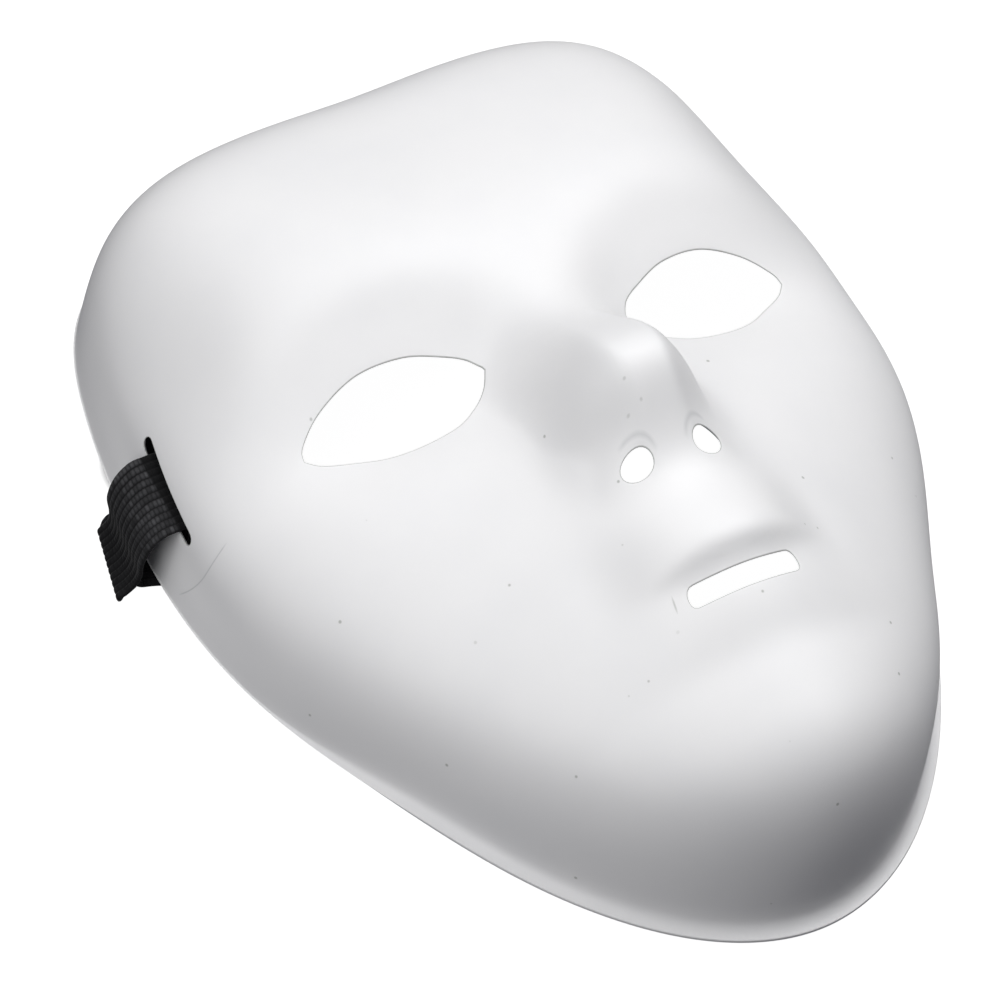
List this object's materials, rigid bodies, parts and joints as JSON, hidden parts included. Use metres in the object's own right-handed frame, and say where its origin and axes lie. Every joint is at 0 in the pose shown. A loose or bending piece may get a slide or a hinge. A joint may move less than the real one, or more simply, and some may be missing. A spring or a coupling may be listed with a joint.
{
  "type": "full face mask",
  "caption": "Blank full-face mask: a thin moulded shell with open eyes, nostrils and mouth, and an elastic head band held in slots at the temples.",
  "frame": {"origin": "middle of the box around the part, on the surface it lies on", "axes": "+X towards the wearer's left side, +Y from the chin to the forehead, +Z out of the face, with the rim down"},
  "size_m": [0.196, 0.2278, 0.0852],
  "materials": {
    "shell_plastic": "smooth white plastic with a soft satin sheen",
    "band_elastic": "matt black ribbed woven elastic"
  },
  "bodies": {
    "root": {"mask_shell": "shell_plastic", "elastic_band": "band_elastic"}
  },
  "joints": []
}
